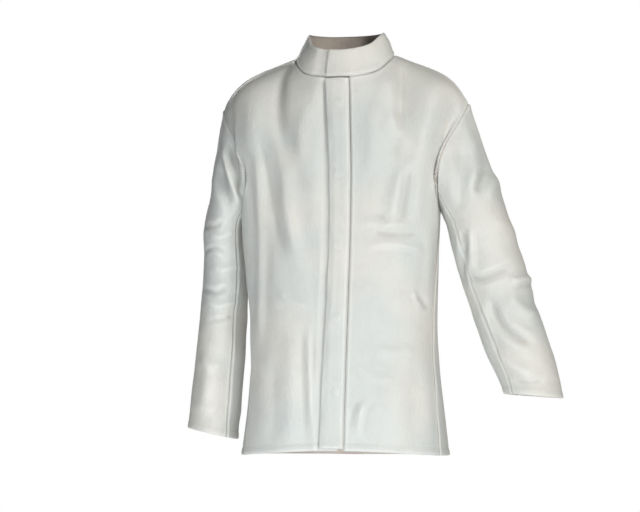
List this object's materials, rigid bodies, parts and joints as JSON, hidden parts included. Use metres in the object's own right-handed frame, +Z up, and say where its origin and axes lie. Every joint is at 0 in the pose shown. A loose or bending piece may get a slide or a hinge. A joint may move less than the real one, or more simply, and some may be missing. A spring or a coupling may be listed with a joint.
{
  "type": "leather welding jacket",
  "caption": "Waist-length leather welding jacket with stand-up collar, full-length snap storm flap and long set-in sleeves, shown filled out as if worn.",
  "frame": {"origin": "middle of the neck opening, level with the collar seam at the shoulders, where the wearer's neck carries the jacket", "axes": "+Z up, front opening faces -Y, the wearer's left is +X"},
  "size_m": [0.7431, 0.278, 0.8562],
  "materials": {
    "grain_leather": "smooth off-white grain, soft satin",
    "lining_suede": "suede inner side of the same leather",
    "snap_metal": "nickel plated"
  },
  "bodies": {
    "torso": {"back_panel": "grain_leather", "collar_lining": "lining_suede", "collar_outer": "grain_leather", "front_left_facing": "lining_suede", "front_left_panel": "grain_leather", "front_right_facing": "lining_suede", "front_right_panel": "grain_leather", "hanger_loop": "lining_suede", "hem_facing_back": "lining_suede", "hem_facing_left": "lining_suede", "hem_facing_right": "lining_suede", "snap_post_1": "snap_metal", "snap_post_2": "snap_metal", "snap_post_3": "snap_metal", "snap_post_4": "snap_metal", "snap_post_5": "snap_metal", "snap_stud_1": "snap_metal", "snap_stud_2": "snap_metal", "snap_stud_3": "snap_metal", "snap_stud_4": "snap_metal", "snap_stud_5": "snap_metal"},
    "collar_tab": {"collar_tab_lining": "lining_suede", "collar_tab_outer": "grain_leather"},
    "left_forearm": {"left_cuff_facing": "lining_suede", "left_forearm_top_sleeve": "grain_leather", "left_forearm_under_sleeve": "grain_leather"},
    "left_sleeve": {"left_upper_top_sleeve": "grain_leather", "left_upper_under_sleeve": "grain_leather"},
    "right_forearm": {"right_cuff_facing": "lining_suede", "right_forearm_top_sleeve": "grain_leather", "right_forearm_under_sleeve": "grain_leather"},
    "right_sleeve": {"right_upper_top_sleeve": "grain_leather", "right_upper_under_sleeve": "grain_leather"},
    "storm_flap": {"snap_cap_1": "snap_metal", "snap_cap_2": "snap_metal", "snap_cap_3": "snap_metal", "snap_cap_4": "snap_metal", "snap_cap_5": "snap_metal", "snap_socket_1": "snap_metal", "snap_socket_2": "snap_metal", "snap_socket_3": "snap_metal", "snap_socket_4": "snap_metal", "snap_socket_5": "snap_metal", "storm_flap_facing": "lining_suede", "storm_flap_outer": "grain_leather"}
  },
  "joints": [
    {"name": "flap_hinge", "type": "hinge", "parent": "torso", "child": "storm_flap", "pos_m": [0.02195, -0.0972, -0.05693], "axis": [0, 0.0615, 0.9981], "range_deg": [0, 150]},
    {"name": "tab_hinge", "type": "hinge", "parent": "torso", "child": "collar_tab", "pos_m": [0.01956, -0.09117, -0.0282], "axis": [-0.0867, 0.1067, 0.9905], "range_deg": [0, 130]},
    {"name": "left_shoulder", "type": "hinge", "parent": "torso", "child": "left_sleeve", "pos_m": [0.2503, 0.008, -0.0979], "axis": [0, -1, 0], "range_deg": [0, 60]},
    {"name": "right_shoulder", "type": "hinge", "parent": "torso", "child": "right_sleeve", "pos_m": [-0.2503, 0.008, -0.0979], "axis": [0, 1, 0], "range_deg": [0, 70]},
    {"name": "left_elbow", "type": "hinge", "parent": "left_sleeve", "child": "left_forearm", "pos_m": [0.299, -0.04999, -0.45667], "axis": [-0.96, -0.0058, -0.2799], "range_deg": [0, 65]},
    {"name": "right_elbow", "type": "hinge", "parent": "right_sleeve", "child": "right_forearm", "pos_m": [-0.249, -0.041, -0.456], "axis": [-0.9975, 0, 0.0705], "range_deg": [0, 65]}
  ]
}
